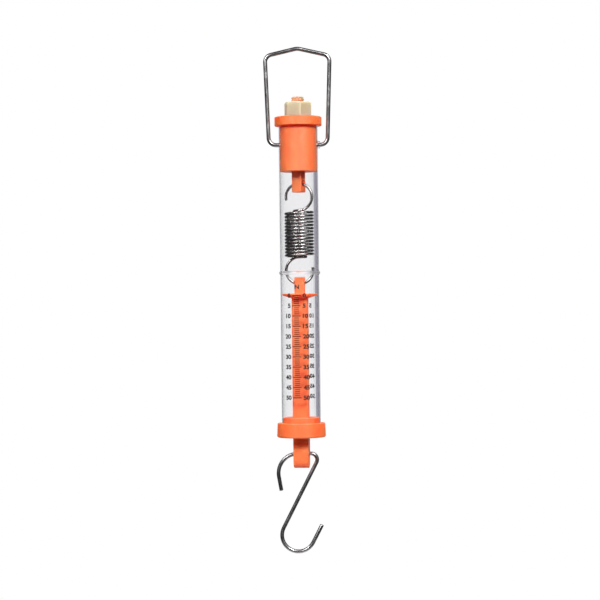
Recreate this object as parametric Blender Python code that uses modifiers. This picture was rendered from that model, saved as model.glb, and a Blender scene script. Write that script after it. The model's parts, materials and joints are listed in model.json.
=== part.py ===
"""Hanging spring scale, 0 to 50 N: a clear tube with two caps, a spring and a plunger inside it,
a wire bail to hang it by and a wire S-hook for the load.

Metres, +Z up. The origin is the underside of the bail's top bend, where the scale hangs. The tube's
axis is the Z axis and the front of the scale faces -Y.
"""

import math

import bmesh
import bpy
from mathutils import Matrix, Vector

MM = 0.001
GAP = 0.3 * MM
TURN = 2.0 * math.pi
ROUND_STEPS = 48
SMALL_EDGE = 0.4 * MM
PAST = 2.0 * MM  # how far a cutter runs on beyond the face that it cuts

# Heights, measured from the hang point
PIVOT_Z = -46.0 * MM
CAP_TOP_Z = -32.4 * MM
ZERO_Z = -119.5 * MM

# Clear tube
TUBE_R = 9.55 * MM
TUBE_WALL = 0.5 * MM
TUBE_BORE_R = TUBE_R - TUBE_WALL
RIB_Z = -108.5 * MM
RIB_PROUD = 0.5 * MM
RIB_WIDTH = 1.0 * MM
COLLAR_R = 1.8 * MM
COLLAR_PROUD = 1.1 * MM
COLLAR_ROOT = 0.35 * MM

# Top cap
TOP_FLANGE_R = 11.5 * MM
TOP_FLANGE_H = 4.4 * MM
PLUG_R = TUBE_BORE_R - 0.25 * MM
TOP_PLUG_H = 22.3 * MM
TOP_EDGE = 0.5 * MM
TUBE_TOP_Z = CAP_TOP_Z - TOP_FLANGE_H - GAP
TOP_PLUG_END_Z = CAP_TOP_Z - TOP_FLANGE_H - TOP_PLUG_H

# Bottom cap
BOTTOM_FLANGE_Z = -181.7 * MM
BOTTOM_FLANGE_R = 11.9 * MM
BOTTOM_FLANGE_H = 6.9 * MM
BOTTOM_PLUG_H = 2.7 * MM
BOTTOM_EDGE = 0.8 * MM
BOTTOM_TAPER = 0.25 * MM
TUBE_END_Z = BOTTOM_FLANGE_Z + GAP

# Bail
BAIL_WIRE_R = 1.0 * MM
BAIL_HOLE_R = BAIL_WIRE_R + GAP
BAIL_HOLE_SPARE = 0.4 * MM
TUBE_HOLE_R = BAIL_HOLE_R + 0.1 * MM
BAIL_TOP_HALF = 15.8 * MM
BAIL_FOOT_HALF = 14.3 * MM
BAIL_SHOULDER_Z = -2.5 * MM
BAIL_BEND_R = 3.6 * MM
BAIL_PEAK_R = 6.0 * MM
BAIL_END_X = 4.7 * MM

# Adjuster: threaded stud, flat-sided shank and square bar in one piece
THREAD_PITCH = 1.27 * MM
THREAD_MEAN_R = 2.95 * MM
THREAD_HALF_DEPTH = 0.22 * MM
THREAD_LENGTH = 12.2 * MM
THREAD_ROWS_PER_PITCH = 6
THREAD_SIDES = 24
THREAD_RUN_OUT = 0.5 * MM
STUD_TOP_Z = -22.6 * MM
STUD_TIP_R = 2.6 * MM
SHANK_R = 3.05 * MM
BAR_HALF = 2.45 * MM
BAR_CORNER_R = 3.35 * MM
BAR_START_Z = -54.0 * MM
BAR_SHOULDER = 0.8 * MM
ADJUSTER_END_Z = -69.2 * MM
ADJUSTER_TURN = math.radians(-28.0)
KEYED_BORE_R = 3.5 * MM
KEYED_BORE_HALF = BAR_HALF + GAP
UPPER_EYE_R = 1.55 * MM
UPPER_EYE_HALF_LENGTH = 6.0 * MM

# Nut
NUT_ACROSS_CORNERS = 14.0 * MM
NUT_TURN = math.radians(-20.0)
NUT_H = 6.9 * MM
NUT_CHAMFER = 0.9 * MM
NUT_CORNER_CUT = 0.1 * MM
NUT_BOTTOM_Z = CAP_TOP_Z + GAP
NUT_THREAD_GAP = 0.33 * MM

# Spring
SPRING_WIRE_R = 0.6 * MM
COIL_R = 6.5 * MM
COIL_TURNS = 14
COIL_TOP_Z = -78.55 * MM
COIL_END_Z = -100.35 * MM
LOOP_R = 6.55 * MM
UPPER_LOOP_Z = -71.4 * MM
LOWER_LOOP_Z = -107.3 * MM
LOOP_SWEEP = math.radians(284.0)
UPPER_LOOP_TURN = math.radians(-14.0)
COIL_POINTS_PER_TURN = 14
LOOP_POINTS_PER_TURN = 20
CROSSING_POINTS = 7

# Plunger: head, reading disc, square bar and tab in one piece
PLUNGER_TURN = math.radians(-7.0)
HEAD_TOP_Z = -110.5 * MM
HEAD_WIDTH = 4.9 * MM
HEAD_BEVEL = 0.5 * MM
DISC_R = 8.65 * MM
DISC_TOP_Z = -118.6 * MM
DISC_RIM_H = 0.9 * MM
DISC_CONE_H = 1.3 * MM
DISC_EDGE = 0.2 * MM
BAR_WIDTH = 7.4 * MM
BAR_BEVEL = 0.3 * MM
TAB_END_Z = -203.7 * MM
LOWER_EYE_Z = -113.9 * MM
LOWER_EYE_R = 1.4 * MM

# Hook
HOOK_WIRE_R = 0.94 * MM
HOOK_PIVOT_Z = -196.7 * MM
HOOK_HOLE_R = 1.6 * MM
HOOK_HOLE_Z = HOOK_PIVOT_Z - HOOK_WIRE_R - GAP + HOOK_HOLE_R
# Corners of the bent wire as x, height above the pivot, bend radius
HOOK_CORNERS = (
    (-10.1 * MM, -18.0 * MM, 0.0),
    (-13.2 * MM, 0.0, 9.5 * MM),
    (9.4 * MM, 0.0, 3.0 * MM),
    (-12.8 * MM, -43.2 * MM, 8.0 * MM),
    (1.4 * MM, -50.5 * MM, 8.0 * MM),
    (9.6 * MM, -34.8 * MM, 0.0),
)

COLOURS = {
    "orange_plastic": (0.87, 0.24, 0.06),
    "ivory_nylon": (0.72, 0.58, 0.40),
    "clear_plastic": (0.92, 0.93, 0.95),
    "bright_steel": (0.62, 0.61, 0.60),
}


# ---------------------------------------------------------------- scene and objects

def clear_scene():
    for old in list(bpy.data.objects):
        bpy.data.objects.remove(old, do_unlink=True)


def new_collection(name):
    made = bpy.data.collections.new(name)
    bpy.context.scene.collection.children.link(made)
    return made


def new_material(name, roughness, metallic=0.0, transmission=0.0):
    made = bpy.data.materials.new(name)
    made.use_nodes = True
    shader = made.node_tree.nodes["Principled BSDF"]
    shader.inputs["Base Color"].default_value = (*COLOURS[name], 1.0)
    shader.inputs["Roughness"].default_value = roughness
    shader.inputs["Metallic"].default_value = metallic
    shader.inputs["Transmission Weight"].default_value = transmission
    return made


def add_object(name, data, collection, material=None):
    made = bpy.data.objects.new(name, data)
    collection.objects.link(made)
    if material is not None:
        data.materials.append(material)
    return made


def mesh_object(name, bm, collection, material=None):
    mesh = bpy.data.meshes.new(name)
    bmesh.ops.recalc_face_normals(bm, faces=bm.faces)
    if bm.calc_volume(signed=True) < 0.0:
        bmesh.ops.reverse_faces(bm, faces=bm.faces)
    bm.to_mesh(mesh)
    bm.free()
    mesh.shade_smooth()
    mesh.set_sharp_from_angle(angle=math.radians(35.0))
    return add_object(name, mesh, collection, material)


def add_empty(name, collection, location, parent=None):
    made = bpy.data.objects.new(name, None)
    made.empty_display_size = 10.0 * MM
    collection.objects.link(made)
    attach(made, parent, location)
    return made


def attach(child, parent, location):
    """Parents an unturned object and puts its origin at a place in the world."""
    child.parent = parent
    start = parent.matrix_world.translation if parent is not None else Vector((0.0, 0.0, 0.0))
    child.location = Vector(location) - start
    bpy.context.view_layer.update()


def give_origin(made, parent, origin):
    """Moves an object's origin onto its joint's axis and leaves its shape where it is."""
    made.data.transform(Matrix.Translation(-Vector(origin)))
    attach(made, parent, origin)


# ---------------------------------------------------------------- shapes

def arc(centre_x, centre_z, radius, start_deg, end_deg, steps):
    """Points of a round stretch of an outline, both ends included."""
    points = []
    for i in range(steps + 1):
        angle = math.radians(start_deg + (end_deg - start_deg) * i / steps)
        points.append((centre_x + radius * math.cos(angle), centre_z + radius * math.sin(angle)))
    return points


def turned(name, profile, collection, material=None, closed=False):
    """A profile of (radius, height) points turned about the Z axis."""
    mesh = bpy.data.meshes.new(name)
    edges = [(i, i + 1) for i in range(len(profile) - 1)]
    if closed:
        edges.append((len(profile) - 1, 0))
    mesh.from_pydata([(radius, 0.0, z) for radius, z in profile], edges, [])
    made = add_object(name, mesh, collection, material)
    screw = made.modifiers.new("Turn", "SCREW")
    screw.steps = ROUND_STEPS
    screw.render_steps = ROUND_STEPS
    screw.use_merge_vertices = True
    screw.merge_threshold = 0.00001
    screw.use_smooth_shade = True
    return made


def cylinder(name, radius, start, end, collection, sides=32):
    """A round bar between two points."""
    line = Vector(end) - Vector(start)
    bm = bmesh.new()
    bmesh.ops.create_cone(bm, cap_ends=True, segments=sides, radius1=radius, radius2=radius,
                          depth=line.length)
    bm.transform(line.to_track_quat("Z", "Y").to_matrix().to_4x4())
    bm.transform(Matrix.Translation((Vector(start) + Vector(end)) / 2.0))
    return mesh_object(name, bm, collection)


def box(name, width, z_low, z_high, turn, collection, bevel=0.0):
    """An upright square bar on the Z axis, turned about it, with bevelled edges."""
    bm = bmesh.new()
    bmesh.ops.create_cube(bm, size=1.0)
    bm.transform(Matrix.Diagonal((width, width, z_high - z_low, 1.0)))
    if bevel > 0.0:
        bmesh.ops.bevel(bm, geom=bm.edges[:], offset=bevel, segments=2, affect="EDGES", profile=0.5)
    bm.transform(Matrix.Rotation(turn, 4, "Z"))
    bm.transform(Matrix.Translation((0.0, 0.0, (z_high + z_low) / 2.0)))
    return mesh_object(name, bm, collection)


def slab(name, outline, width, turn, bevel, collection, material=None):
    """An outline of (y, z) points given a width along X, then turned about the Z axis."""
    bm = bmesh.new()
    face = bm.faces.new([bm.verts.new((-width / 2.0, y, z)) for y, z in outline])
    grown = bmesh.ops.extrude_face_region(bm, geom=[face])
    far_side = [item for item in grown["geom"] if isinstance(item, bmesh.types.BMVert)]
    bmesh.ops.translate(bm, verts=far_side, vec=(width, 0.0, 0.0))
    bmesh.ops.recalc_face_normals(bm, faces=bm.faces)
    sharp = [edge for edge in bm.edges if edge.calc_face_angle(0.0) > math.radians(60.0)]
    bmesh.ops.bevel(bm, geom=sharp, offset=bevel, segments=2, affect="EDGES", profile=0.5)
    bm.transform(Matrix.Rotation(turn, 4, "Z"))
    return mesh_object(name, bm, collection, material)


def rolled(name, levels, sides, place, collection, material=None):
    """A grid rolled into a bar: place(angle, level) gives each point, and flat caps close it."""
    bm = bmesh.new()
    rows = len(levels) - 1
    bmesh.ops.create_grid(bm, x_segments=sides, y_segments=rows, size=1.0)
    for vert in bm.verts:
        angle = (vert.co.x + 1.0) / 2.0 * TURN
        level = levels[round((vert.co.y + 1.0) / 2.0 * rows)]
        vert.co = place(angle, level)
    bmesh.ops.remove_doubles(bm, verts=bm.verts, dist=0.001 * MM)
    ends = [edge for edge in bm.edges if edge.is_boundary]
    bmesh.ops.holes_fill(bm, edges=ends, sides=0)
    return mesh_object(name, bm, collection, material)


def wire(name, points, radius, collection, material):
    """Round wire along a list of points, with flat ends."""
    curve = bpy.data.curves.new(name, "CURVE")
    curve.dimensions = "3D"
    curve.bevel_depth = radius
    curve.bevel_resolution = 2
    curve.use_fill_caps = True
    spline = curve.splines.new("POLY")
    spline.points.add(len(points) - 1)
    for slot, point in zip(spline.points, points):
        slot.co = (*point, 1.0)
    spline.use_smooth = True
    return add_object(name, curve, collection, material)


def bent_path(corners, step_deg=12.0):
    """A path in the XZ plane through (x, z, bend radius) corners, with an arc at each bend."""
    path = [Vector((corners[0][0], 0.0, corners[0][1]))]
    for before, corner, after in zip(corners, corners[1:], corners[2:]):
        bend = Vector((corner[0], corner[1]))
        back = (Vector(before[:2]) - bend).normalized()
        ahead = (Vector(after[:2]) - bend).normalized()
        half_opening = back.angle(ahead) / 2.0
        centre = bend + (back + ahead).normalized() * corner[2] / math.sin(half_opening)
        start = bend + back * corner[2] / math.tan(half_opening) - centre
        sweep = start.angle_signed(bend + ahead * corner[2] / math.tan(half_opening) - centre)
        steps = math.ceil(abs(math.degrees(sweep)) / step_deg)
        for i in range(steps + 1):
            spoke = start.copy()
            spoke.rotate(Matrix.Rotation(-sweep * i / steps, 2))
            path.append(Vector((centre.x + spoke.x, 0.0, centre.y + spoke.y)))
    path.append(Vector((corners[-1][0], 0.0, corners[-1][1])))
    return path


def boolean(target, tool, operation):
    tool.hide_render = True
    tool.display_type = "WIRE"
    change = target.modifiers.new(tool.name, "BOOLEAN")
    change.operation = operation
    change.solver = "EXACT"
    change.object = tool


# ---------------------------------------------------------------- housing

def tube(parts, tools, material):
    """The clear tube: a ring profile with the rib, the bail's two holes and one raised hole rim."""
    rib_r = TUBE_R + RIB_PROUD
    outside = [
        (TUBE_R, TUBE_TOP_Z),
        (TUBE_R, RIB_Z + RIB_WIDTH),
        (rib_r, RIB_Z + RIB_WIDTH / 2.0),
        (rib_r, RIB_Z - RIB_WIDTH / 2.0),
        (TUBE_R, RIB_Z - RIB_WIDTH),
        (TUBE_R, TUBE_END_Z),
    ]
    inside = [(TUBE_BORE_R, TUBE_END_Z), (TUBE_BORE_R, TUBE_TOP_Z)]
    made = turned("tube", outside + inside, parts, material, closed=True)
    rim_end = TUBE_R + COLLAR_PROUD
    rim = cylinder("tube_hole_rim", COLLAR_R, (TUBE_R - COLLAR_ROOT, 0.0, PIVOT_Z),
                   (rim_end, 0.0, PIVOT_Z), tools, sides=20)
    hole = cylinder("tube_holes", TUBE_HOLE_R, (-rim_end - PAST, 0.0, PIVOT_Z),
                    (rim_end + PAST, 0.0, PIVOT_Z), tools, sides=20)
    boolean(made, rim, "UNION")
    boolean(made, hole, "DIFFERENCE")
    return made


def top_cap(parts, tools, material):
    """Flange and long plug, with a flat-sided bore and a blind hole for each end of the bail."""
    flange_end_z = CAP_TOP_Z - TOP_FLANGE_H
    profile = [(0.0, CAP_TOP_Z)]
    profile += arc(TOP_FLANGE_R - TOP_EDGE, CAP_TOP_Z - TOP_EDGE, TOP_EDGE, 90.0, 0.0, 4)
    profile += arc(TOP_FLANGE_R - SMALL_EDGE, flange_end_z + SMALL_EDGE, SMALL_EDGE, 0.0, -90.0, 2)
    profile += [(PLUG_R, flange_end_z)]
    profile += arc(PLUG_R - SMALL_EDGE, TOP_PLUG_END_Z + SMALL_EDGE, SMALL_EDGE, 0.0, -90.0, 2)
    profile += [(0.0, TOP_PLUG_END_Z)]
    made = turned("top_cap", profile, parts, material)

    def flat_sided(angle, level):
        y = max(-KEYED_BORE_HALF, min(KEYED_BORE_HALF, KEYED_BORE_R * math.sin(angle)))
        point = Vector((KEYED_BORE_R * math.cos(angle), y, level))
        point.rotate(Matrix.Rotation(ADJUSTER_TURN, 3, "Z"))
        return point

    bore = rolled("keyed_bore", [TOP_PLUG_END_Z - PAST, CAP_TOP_Z + PAST], THREAD_SIDES, flat_sided,
                  tools)
    boolean(made, bore, "DIFFERENCE")
    for side in (-1.0, 1.0):
        inner = (side * (BAIL_END_X - BAIL_HOLE_SPARE), 0.0, PIVOT_Z)
        outer = (side * (PLUG_R + PAST), 0.0, PIVOT_Z)
        hole = cylinder("bail_hole", BAIL_HOLE_R, inner, outer, tools, sides=16)
        boolean(made, hole, "DIFFERENCE")
    return made


def bottom_cap(parts, tools, material):
    """Flange with a slightly tapered side and short plug, with a square hole for the plunger."""
    plug_top_z = BOTTOM_FLANGE_Z + BOTTOM_PLUG_H
    flange_end_z = BOTTOM_FLANGE_Z - BOTTOM_FLANGE_H
    upper_edge_r = BOTTOM_FLANGE_R - BOTTOM_TAPER - SMALL_EDGE
    profile = [(0.0, plug_top_z)]
    profile += arc(PLUG_R - SMALL_EDGE, plug_top_z - SMALL_EDGE, SMALL_EDGE, 90.0, 0.0, 2)
    profile += [(PLUG_R, BOTTOM_FLANGE_Z)]
    profile += arc(upper_edge_r, BOTTOM_FLANGE_Z - SMALL_EDGE, SMALL_EDGE, 90.0, 0.0, 2)
    profile += arc(BOTTOM_FLANGE_R - BOTTOM_EDGE, flange_end_z + BOTTOM_EDGE, BOTTOM_EDGE, 0.0, -90.0, 4)
    profile += [(0.0, flange_end_z)]
    made = turned("bottom_cap", profile, parts, material)
    hole = box("plunger_hole", BAR_WIDTH + 2.0 * GAP, flange_end_z - PAST, plug_top_z + PAST,
               PLUNGER_TURN, tools)
    boolean(made, hole, "DIFFERENCE")
    return made


def bail(parts, material):
    """Bent wire: a slightly peaked top, two legs that lean in, and two ends that face inwards."""
    slope = math.atan((BAIL_WIRE_R - BAIL_SHOULDER_Z) / BAIL_TOP_HALF)
    peak_z = BAIL_WIRE_R + BAIL_PEAK_R * (1.0 / math.cos(slope) - 1.0)
    corners = [
        (-BAIL_END_X, PIVOT_Z, 0.0),
        (-BAIL_FOOT_HALF, PIVOT_Z, BAIL_BEND_R),
        (-BAIL_TOP_HALF, BAIL_SHOULDER_Z, BAIL_BEND_R),
        (0.0, peak_z, BAIL_PEAK_R),
        (BAIL_TOP_HALF, BAIL_SHOULDER_Z, BAIL_BEND_R),
        (BAIL_FOOT_HALF, PIVOT_Z, BAIL_BEND_R),
        (BAIL_END_X, PIVOT_Z, 0.0),
    ]
    return wire("bail", bent_path(corners), BAIL_WIRE_R, parts, material)


# ---------------------------------------------------------------- zero adjustment

def thread_radius(angle, level):
    """Radius of the right-hand thread, a rounded wave that climbs one pitch in each turn."""
    phase = TURN * (level - STUD_TOP_Z) / THREAD_PITCH - angle
    return THREAD_MEAN_R + THREAD_HALF_DEPTH * math.cos(phase)


def even_levels(start, end, count):
    return [start + (end - start) * i / count for i in range(count + 1)]


def adjuster(parts, tools, material):
    """Threaded stud with two flats, plain shank and square bar, with a cross hole near its end."""
    thread_end_z = STUD_TOP_Z - THREAD_LENGTH
    rows = round(THREAD_LENGTH / THREAD_PITCH * THREAD_ROWS_PER_PITCH)
    levels = [ADJUSTER_END_Z, ADJUSTER_END_Z + SMALL_EDGE, BAR_START_Z, BAR_START_Z + BAR_SHOULDER]
    levels += even_levels(thread_end_z - THREAD_RUN_OUT, STUD_TOP_Z, rows)

    def place(angle, level):
        half_y = BAR_HALF
        if level > thread_end_z:
            radius = min(thread_radius(angle, level), STUD_TIP_R + STUD_TOP_Z - level)
            half_x = radius
        elif level > BAR_START_Z:
            radius = SHANK_R
            half_x = radius
        else:
            radius = BAR_CORNER_R
            half_x = min(BAR_HALF, BAR_HALF - SMALL_EDGE + level - ADJUSTER_END_Z)
            half_y = half_x
        x = max(-half_x, min(half_x, radius * math.cos(angle)))
        y = max(-half_y, min(half_y, radius * math.sin(angle)))
        point = Vector((x, y, level))
        point.rotate(Matrix.Rotation(ADJUSTER_TURN, 3, "Z"))
        return point

    made = rolled("adjuster", levels, THREAD_SIDES, place, parts, material)
    # The spring's loop bears on the hole's lower side, where it leaves the bar's faces
    loop_at_face_z = UPPER_LOOP_Z + math.sqrt(LOOP_R ** 2 - BAR_HALF ** 2)
    eye_z = loop_at_face_z - SPRING_WIRE_R - GAP + UPPER_EYE_R
    reach = Vector((UPPER_EYE_HALF_LENGTH, 0.0, 0.0))
    reach.rotate(Matrix.Rotation((ADJUSTER_TURN + UPPER_LOOP_TURN) / 2.0, 3, "Z"))
    middle = Vector((0.0, 0.0, eye_z))
    eye = cylinder("upper_eye", UPPER_EYE_R, middle - reach, middle + reach, tools, sides=20)
    boolean(made, eye, "DIFFERENCE")
    return made


def zero_nut(parts, tools, material):
    """Hexagon nut with chamfered upper corners and the thread that matches the stud."""
    nut_top_z = NUT_BOTTOM_Z + NUT_H
    corner_r = NUT_ACROSS_CORNERS / 2.0
    bm = bmesh.new()
    bmesh.ops.create_cone(bm, cap_ends=True, segments=6, radius1=corner_r, radius2=corner_r,
                          depth=NUT_H)
    bm.transform(Matrix.Rotation(NUT_TURN + TURN / 12.0, 4, "Z"))
    bm.transform(Matrix.Translation((0.0, 0.0, NUT_BOTTOM_Z + NUT_H / 2.0)))
    made = mesh_object("zero_nut", bm, parts, material)
    side_r = corner_r - NUT_CORNER_CUT
    envelope = turned("nut_chamfer", [
        (0.0, nut_top_z + PAST),
        (corner_r - NUT_CHAMFER - PAST, nut_top_z + PAST),
        (corner_r - NUT_CHAMFER, nut_top_z),
        (side_r, nut_top_z - NUT_CHAMFER),
        (side_r, NUT_BOTTOM_Z - PAST),
        (0.0, NUT_BOTTOM_Z - PAST),
    ], tools)
    boolean(made, envelope, "INTERSECT")

    def place(angle, level):
        radius = thread_radius(angle, level) + NUT_THREAD_GAP
        return Vector((radius * math.cos(angle), radius * math.sin(angle), level))

    rows = round((NUT_H + 2.0 * THREAD_RUN_OUT) / THREAD_PITCH * THREAD_ROWS_PER_PITCH)
    levels = even_levels(NUT_BOTTOM_Z - THREAD_RUN_OUT, nut_top_z + THREAD_RUN_OUT, rows)
    thread = rolled("nut_thread", levels, THREAD_SIDES, place, tools)
    boolean(made, thread, "DIFFERENCE")
    return made


# ---------------------------------------------------------------- spring

def spring_path():
    """One wire: upper loop, crossing to the coil's rim, coil, crossing back, lower loop."""
    path = []
    loop_steps = round(LOOP_POINTS_PER_TURN * LOOP_SWEEP / TURN)
    up = Vector((0.0, 0.0, 1.0))

    def directions(turn):
        cosine, sine = math.cos(turn), math.sin(turn)
        return Vector((cosine, sine, 0.0)), Vector((-sine, cosine, 0.0))

    across, behind = directions(UPPER_LOOP_TURN)
    centre = Vector((0.0, 0.0, UPPER_LOOP_Z))
    loop_end = -math.pi / 2.0
    for i in range(loop_steps + 1):
        angle = loop_end + LOOP_SWEEP * (1.0 - i / loop_steps)
        path.append(centre + LOOP_R * (math.cos(angle) * across + math.sin(angle) * up))

    # From the axis a half circle leads out to the coil's rim at the back
    loop_bottom_z = UPPER_LOOP_Z - LOOP_R
    for i in range(1, CROSSING_POINTS + 1):
        angle = math.pi * i / CROSSING_POINTS
        z = loop_bottom_z + (COIL_TOP_Z - loop_bottom_z) * i / CROSSING_POINTS
        flat = COIL_R / 2.0 * ((1.0 - math.cos(angle)) * behind - math.sin(angle) * across)
        path.append(flat + z * up)

    total_turn = COIL_TURNS * TURN + UPPER_LOOP_TURN
    coil_steps = round(total_turn / TURN * COIL_POINTS_PER_TURN)
    for i in range(1, coil_steps + 1):
        angle = math.pi / 2.0 + UPPER_LOOP_TURN - total_turn * i / coil_steps
        z = COIL_TOP_Z + (COIL_END_Z - COIL_TOP_Z) * i / coil_steps
        path.append(Vector((COIL_R * math.cos(angle), COIL_R * math.sin(angle), z)))

    across, behind = directions(0.0)
    loop_top_z = LOWER_LOOP_Z + LOOP_R
    for i in range(1, CROSSING_POINTS + 1):
        angle = math.pi * i / CROSSING_POINTS
        z = COIL_END_Z + (loop_top_z - COIL_END_Z) * i / CROSSING_POINTS
        flat = COIL_R / 2.0 * ((1.0 + math.cos(angle)) * behind + math.sin(angle) * across)
        path.append(flat + z * up)

    centre = Vector((0.0, 0.0, LOWER_LOOP_Z))
    for i in range(1, loop_steps + 1):
        angle = math.pi / 2.0 + LOOP_SWEEP * i / loop_steps
        path.append(centre + LOOP_R * (math.cos(angle) * across + math.sin(angle) * up))
    return path


def spring(parts, material):
    return wire("spring", spring_path(), SPRING_WIRE_R, parts, material)


# ---------------------------------------------------------------- plunger and hook

def plunger(parts, tools, material):
    """Square bar with a rounded end, joined to the reading disc and the head, with two eyes."""
    half = BAR_WIDTH / 2.0
    bar_top_z = DISC_TOP_Z - DISC_RIM_H
    outline = [(-half, bar_top_z)]
    outline += arc(0.0, TAB_END_Z + half, half, 180.0, 360.0, 12)
    outline += [(half, bar_top_z)]
    made = slab("plunger", outline, BAR_WIDTH, PLUNGER_TURN, BAR_BEVEL, parts, material)
    rim_end_z = DISC_TOP_Z - DISC_RIM_H
    disc = turned("reading_disc", [
        (0.0, DISC_TOP_Z),
        (DISC_R - DISC_EDGE, DISC_TOP_Z),
        (DISC_R, DISC_TOP_Z - DISC_EDGE),
        (DISC_R, rim_end_z),
        (half, rim_end_z - DISC_CONE_H),
        (0.0, rim_end_z - DISC_CONE_H),
    ], tools)
    head = box("plunger_head", HEAD_WIDTH, rim_end_z, HEAD_TOP_Z, PLUNGER_TURN, tools,
               bevel=HEAD_BEVEL)
    boolean(made, disc, "UNION")
    boolean(made, head, "UNION")
    reach = BAR_WIDTH
    for name, radius, z in (("lower_eye", LOWER_EYE_R, LOWER_EYE_Z),
                            ("hook_hole", HOOK_HOLE_R, HOOK_HOLE_Z)):
        eye = cylinder(name, radius, (-reach, 0.0, z), (reach, 0.0, z), tools, sides=20)
        boolean(made, eye, "DIFFERENCE")
    return made


def hook(parts, material):
    """S-hook of bent wire: the small upper bend goes through the tab, the large bowl takes the load."""
    hung = [(x, z + HOOK_PIVOT_Z, bend) for x, z, bend in HOOK_CORNERS]
    return wire("hook", bent_path(hung), HOOK_WIRE_R, parts, material)


def build():
    clear_scene()
    parts = new_collection("Hanging spring scale")
    tools = new_collection("Cutters")
    orange = new_material("orange_plastic", roughness=0.42)
    ivory = new_material("ivory_nylon", roughness=0.5)
    clear = new_material("clear_plastic", roughness=0.08, transmission=1.0)
    steel = new_material("bright_steel", roughness=0.28, metallic=1.0)

    scale_bail = bail(parts, steel)
    housing_pivot = add_empty("housing_pivot", parts, (0.0, 0.0, PIVOT_Z), scale_bail)
    for housing_part in (tube(parts, tools, clear), top_cap(parts, tools, orange),
                         bottom_cap(parts, tools, orange)):
        give_origin(housing_part, housing_pivot, (0.0, 0.0, PIVOT_Z))

    give_origin(zero_nut(parts, tools, ivory), housing_pivot, (0.0, 0.0, NUT_BOTTOM_Z))
    adjuster_slide = add_empty("adjuster_slide", parts, (0.0, 0.0, STUD_TOP_Z), housing_pivot)
    give_origin(adjuster(parts, tools, orange), adjuster_slide, (0.0, 0.0, STUD_TOP_Z))
    give_origin(spring(parts, steel), adjuster_slide, (0.0, 0.0, COIL_TOP_Z))

    plunger_slide = add_empty("plunger_slide", parts, (0.0, 0.0, ZERO_Z), adjuster_slide)
    give_origin(plunger(parts, tools, orange), plunger_slide, (0.0, 0.0, ZERO_Z))
    give_origin(hook(parts, steel), plunger_slide, (0.0, 0.0, HOOK_PIVOT_Z))


build()
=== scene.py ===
"""Looks of the hanging spring scale: finer surfaces, the printed scale, materials, lights and camera.

Metres, +Z up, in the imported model's frame. The tube's axis is the Z axis and its front faces -Y.
"""

import json
import math

import bmesh
import bpy
from mathutils import Matrix, Vector


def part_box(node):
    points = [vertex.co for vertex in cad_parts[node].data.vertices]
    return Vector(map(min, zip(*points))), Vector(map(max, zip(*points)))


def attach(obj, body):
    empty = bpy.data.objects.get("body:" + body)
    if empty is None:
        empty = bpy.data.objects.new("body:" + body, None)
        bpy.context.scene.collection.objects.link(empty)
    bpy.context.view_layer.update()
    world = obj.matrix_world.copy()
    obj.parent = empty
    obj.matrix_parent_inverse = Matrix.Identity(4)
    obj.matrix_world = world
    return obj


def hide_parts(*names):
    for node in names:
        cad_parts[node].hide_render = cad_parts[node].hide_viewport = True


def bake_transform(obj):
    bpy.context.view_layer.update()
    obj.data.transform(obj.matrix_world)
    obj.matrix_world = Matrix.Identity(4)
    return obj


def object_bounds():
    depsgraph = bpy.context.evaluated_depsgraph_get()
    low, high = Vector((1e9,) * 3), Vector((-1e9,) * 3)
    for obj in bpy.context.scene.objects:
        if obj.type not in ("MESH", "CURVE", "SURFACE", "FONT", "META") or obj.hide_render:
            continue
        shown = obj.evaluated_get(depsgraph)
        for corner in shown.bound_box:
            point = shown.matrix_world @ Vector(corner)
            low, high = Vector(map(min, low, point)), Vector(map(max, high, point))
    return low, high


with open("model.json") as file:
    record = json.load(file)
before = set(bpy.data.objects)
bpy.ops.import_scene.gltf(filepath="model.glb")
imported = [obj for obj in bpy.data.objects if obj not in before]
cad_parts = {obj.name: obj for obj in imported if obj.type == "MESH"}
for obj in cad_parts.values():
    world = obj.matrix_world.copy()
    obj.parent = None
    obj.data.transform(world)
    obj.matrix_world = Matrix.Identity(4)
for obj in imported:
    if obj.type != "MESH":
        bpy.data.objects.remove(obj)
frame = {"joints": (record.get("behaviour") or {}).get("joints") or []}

cad_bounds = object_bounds()

MM = 0.001
TURN = 2.0 * math.pi
UP = Vector((0.0, 0.0, 1.0))

# Places and sizes that the frame gives
PIVOTS = {joint["name"]: joint["pos_m"][2] for joint in frame["joints"] if "pos_m" in joint}
BAIL_PIVOT_Z = PIVOTS["housing_swing"]
HOOK_PIVOT_Z = PIVOTS["hook_swing"]
TUBE_LOW, TUBE_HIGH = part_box("tube")
TOP_CAP_LOW, TOP_CAP_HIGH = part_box("top_cap")
BOTTOM_CAP_LOW, BOTTOM_CAP_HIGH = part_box("bottom_cap")
ADJUSTER_LOW, ADJUSTER_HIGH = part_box("adjuster")
NUT_LOW, NUT_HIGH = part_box("zero_nut")
PLUNGER_LOW, PLUNGER_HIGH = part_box("plunger")

# Fineness of the meshes
ROUND_STEPS = 144
HOLE_STEPS = 48
BLIND_HOLE_STEPS = 40
WIRE_SIDES = 28
SPRING_WIRE_SIDES = 16
MERGE_WITHIN = 0.0002 * MM
SHARP_DEG = 32.0
WIRE_SHARP_DEG = 50.0

# Clear tube; the rib is its widest part
RIB_PROUD = 0.5 * MM
TUBE_R = TUBE_HIGH.y - RIB_PROUD
TUBE_WALL = 0.5 * MM
TUBE_EASE = 0.12 * MM
BORE_R = TUBE_R - TUBE_WALL
RIB_Z = -108.5 * MM
RIB_HALF = 1.0 * MM
RIB_STEPS = 10
COLLAR_R = 1.8 * MM
COLLAR_EDGE = 0.25 * MM
COLLAR_ROOT = 0.35 * MM
WIRE_HOLE_R = 1.4 * MM

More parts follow.
